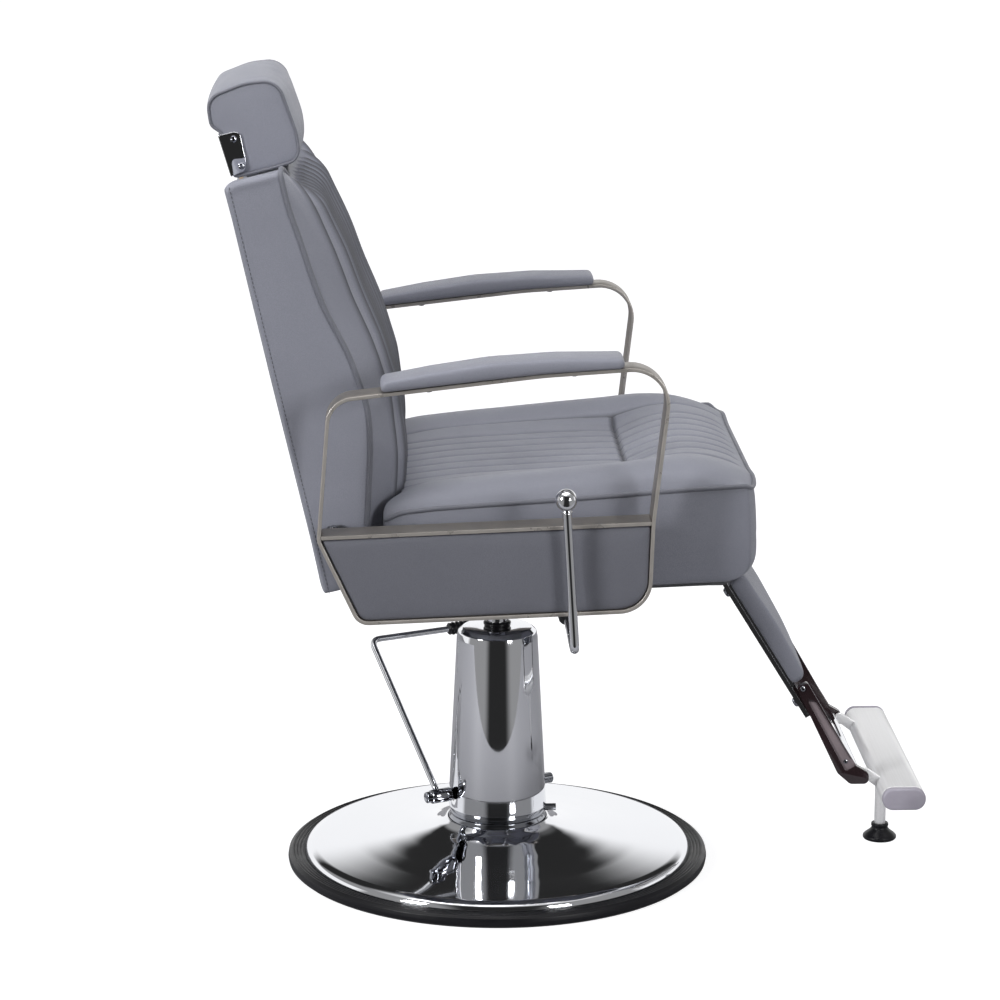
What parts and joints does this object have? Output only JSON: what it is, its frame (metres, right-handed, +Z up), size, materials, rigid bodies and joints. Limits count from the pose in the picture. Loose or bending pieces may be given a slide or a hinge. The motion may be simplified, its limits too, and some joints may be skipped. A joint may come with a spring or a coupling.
{
  "type": "hydraulic barber chair",
  "caption": "Padded swivel chair on a round hydraulic base, with band armrests, a reclining back, a sliding headrest and a linked leg rest with a flip-up footplate.",
  "frame": {"origin": "on the floor, under the column's axis", "axes": "+X towards the sitter's feet, +Y to the sitter's left, +Z up"},
  "size_m": [0.9821, 0.7235, 1.1414],
  "materials": {
    "steel": "satin, dark",
    "chrome": "polished",
    "nickel_band": "satin nickel with bright edges",
    "leather": "soft grained upholstery",
    "dark_leather": "soft grained upholstery, darker",
    "rubber": "matt",
    "aluminium": "bright anodised",
    "cap_plastic": "matt",
    "gloss_black": "glossy",
    "plywood": "bare"
  },
  "bodies": {
    "base": {"floor_plate": "steel", "edge_ring": "rubber", "base_dish": "chrome", "neck_collar": "chrome", "pump_body": "steel", "column_cover": "chrome", "ram_guide": "rubber", "valve_bolt": "steel"},
    "pedal": {"pump_shaft": "chrome", "pedal_lever": "chrome", "pedal_grip": "rubber"},
    "lift": {"ram": "chrome"},
    "seat": {"seat_hub": "steel", "mount_plate": "steel", "seat_rail_right": "steel", "seat_rail_left": "steel", "cross_bar_front": "steel", "cross_bar_rear": "steel", "back_bracket_right": "steel", "back_bracket_left": "steel", "leg_bracket_right": "steel", "leg_bracket_left": "steel", "lever_bracket": "steel", "seat_board": "plywood", "seat_cushion": "leather", "arm_band_right": "nickel_band", "arm_band_left": "nickel_band", "arm_strip_right": "nickel_band", "arm_strip_left": "nickel_band", "side_panel_right": "dark_leather", "side_panel_left": "dark_leather", "arm_pad_right": "leather", "arm_pad_left": "leather"},
    "release": {"release_lever": "chrome", "ball_knob": "chrome"},
    "back": {"back_board": "plywood", "back_cushion": "leather", "back_arm_right": "steel", "back_arm_left": "steel", "back_pivot_tube": "steel", "headrest_guide": "steel"},
    "headrest": {"headrest_cushion": "leather", "headrest_bracket": "chrome", "headrest_post": "chrome"},
    "link": {"link_bar": "steel"},
    "legrest": {"leg_pivot_tube": "steel", "leg_strap_right": "chrome", "leg_strap_left": "chrome", "calf_plate": "chrome", "calf_pad": "leather", "leg_tie": "gloss_black", "leg_arm_right": "gloss_black", "leg_arm_left": "gloss_black", "footplate_pin": "chrome"},
    "footrest": {"footplate": "aluminium", "end_cap_right": "cap_plastic", "end_cap_left": "cap_plastic", "foot_tube": "aluminium", "rubber_foot": "rubber"}
  },
  "joints": [
    {"name": "pump_pedal", "type": "hinge", "parent": "base", "child": "pedal", "pos_m": [0, 0, 0.106], "axis": [-0.9004, -0.435, 0], "range_deg": [0, 32], "stiffness_Nm_per_rad": 20, "springref_deg": -20.05},
    {"name": "ram_lift", "type": "slide", "parent": "base", "child": "lift", "axis": [0, 0, 1], "range_m": [0, 0.16]},
    {"name": "swivel", "type": "hinge", "parent": "lift", "child": "seat", "pos_m": [0, 0, 0.42], "axis": [0, 0, 1], "continuous": true},
    {"name": "recline", "type": "hinge", "parent": "seat", "child": "back", "pos_m": [-0.185, 0, 0.452], "axis": [0, -1, 0], "range_deg": [0, 50]},
    {"name": "link_swing", "type": "hinge", "parent": "back", "child": "link", "pos_m": [-0.185, 0.1025, 0.407], "axis": [0, -1, 0], "range_deg": [-50, 0]},
    {"name": "legrest_swing", "type": "hinge", "parent": "seat", "child": "legrest", "pos_m": [0.3, 0, 0.457], "axis": [0, -1, 0], "range_deg": [0, 50]},
    {"name": "footplate_flip", "type": "hinge", "parent": "legrest", "child": "footrest", "pos_m": [0.499, 0, 0.163], "axis": [0, -1, 0], "range_deg": [0, 85]},
    {"name": "headrest_slide", "type": "slide", "parent": "back", "child": "headrest", "axis": [-0.2205, 0, 0.9754], "range_m": [0, 0.1]},
    {"name": "release_pull", "type": "hinge", "parent": "seat", "child": "release", "pos_m": [0.089, -0.2, 0.407], "axis": [0, -1, 0], "range_deg": [0, 20], "stiffness_Nm_per_rad": 4, "springref_deg": -28.65}
  ],
  "couplings": [
    {"joint": "legrest_swing", "follows": "recline", "ratio": 1},
    {"joint": "link_swing", "follows": "recline", "ratio": -1}
  ]
}
